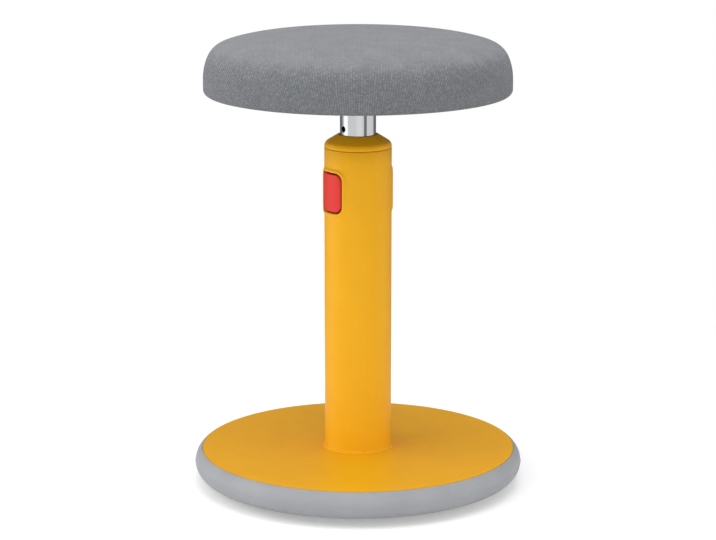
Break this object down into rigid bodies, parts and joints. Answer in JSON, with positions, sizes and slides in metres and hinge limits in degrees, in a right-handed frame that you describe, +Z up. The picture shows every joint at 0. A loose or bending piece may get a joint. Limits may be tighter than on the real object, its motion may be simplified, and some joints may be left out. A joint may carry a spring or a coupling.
{
  "type": "wobble stool",
  "caption": "Height-adjustable wobble stool: padded round seat that swivels on a gas-sprung chrome tube, yellow column with side release buttons, rocking disc base with grey rubber sole.",
  "frame": {"origin": "middle of the flat foot, on the floor", "axes": "+Z up along the column's axis; the release buttons are on the -X and +X sides"},
  "size_m": [0.37, 0.37, 0.5076],
  "materials": {
    "sole_rubber": "grey moulded rubber, satin",
    "yellow_plastic": "warm yellow moulded plastic, fine satin texture",
    "red_plastic": "red moulded plastic, satin",
    "chrome": "polished chrome plate",
    "ballast_steel": "blackened steel disc",
    "post_steel": "zinc-plated steel",
    "spring_housing": "black painted steel tube",
    "rod_steel": "ground and hard-chromed steel",
    "fastener_steel": "zinc-plated steel",
    "guide_plastic": "natural acetal",
    "lever_steel": "stamped zinc-plated steel",
    "spring_wire": "spring steel wire",
    "plate_steel": "black powder-coated steel",
    "plywood": "birch plywood",
    "knit_fabric": "heathered grey knitted fabric over foam",
    "dust_fabric": "thin black nonwoven sheet"
  },
  "bodies": {
    "base": {"sole": "sole_rubber", "ballast_disc": "ballast_steel", "base_cover": "yellow_plastic", "post_flange": "post_steel", "guide_tube": "post_steel", "flange_bolts": "fastener_steel", "flange_nuts": "fastener_steel", "column_casing": "yellow_plastic", "column_cap": "yellow_plastic", "guide_bush": "guide_plastic", "gas_cylinder": "spring_housing", "lever_bracket": "lever_steel", "lever_pins": "fastener_steel", "return_springs": "spring_wire"},
    "rod": {"piston": "guide_plastic", "piston_rod": "rod_steel", "thrust_bearing": "guide_plastic", "rod_nut": "fastener_steel"},
    "seat": {"inner_tube": "chrome", "slide_ring": "guide_plastic", "tube_plug": "rod_steel", "seat_plate": "plate_steel", "plate_collar": "plate_steel", "plate_bolts": "fastener_steel", "seat_board": "plywood", "seat_cushion": "knit_fabric", "dust_cover": "dust_fabric"},
    "left_button": {"button_left": "red_plastic"},
    "right_button": {"button_right": "red_plastic"},
    "yoke": {"release_yoke": "guide_plastic", "push_rods": "rod_steel"},
    "left_lever": {"lever_left": "lever_steel"},
    "right_lever": {"lever_right": "lever_steel"},
    "valve": {"valve_stem": "rod_steel"}
  },
  "joints": [
    {"name": "seat_lift", "type": "slide", "parent": "base", "child": "rod", "axis": [0, 0, 1], "range_m": [0, 0.19]},
    {"name": "seat_swivel", "type": "hinge", "parent": "rod", "child": "seat", "pos_m": [0, 0, 0.44], "axis": [0, 0, 1], "continuous": true},
    {"name": "left_press", "type": "slide", "parent": "base", "child": "left_button", "axis": [1, 0, 0], "range_m": [0, 0.003], "stiffness_N_per_m": 800, "springref_m": -0.002},
    {"name": "right_press", "type": "slide", "parent": "base", "child": "right_button", "axis": [-1, 0, 0], "range_m": [0, 0.003]},
    {"name": "yoke_slide", "type": "slide", "parent": "base", "child": "yoke", "axis": [0, 0, -1], "range_m": [0, 0.003], "deforming": ["return_springs"]},
    {"name": "left_lever_turn", "type": "hinge", "parent": "base", "child": "left_lever", "pos_m": [-0.012, 0, 0.035], "axis": [0, -1, 0], "range_deg": [0, 9.55]},
    {"name": "right_lever_turn", "type": "hinge", "parent": "base", "child": "right_lever", "pos_m": [0.012, 0, 0.035], "axis": [0, 1, 0], "range_deg": [0, 9.55]},
    {"name": "valve_press", "type": "slide", "parent": "base", "child": "valve", "axis": [0, 0, 1], "range_m": [0, 0.00167]}
  ],
  "couplings": [
    {"joint": "right_press", "follows": "left_press", "ratio": 1},
    {"joint": "yoke_slide", "follows": "left_press", "ratio": 1},
    {"joint": "left_lever_turn", "follows": "left_press", "rad_per_m": 55.556},
    {"joint": "right_lever_turn", "follows": "left_press", "rad_per_m": 55.556},
    {"joint": "valve_press", "follows": "left_press", "ratio": 0.55556}
  ]
}
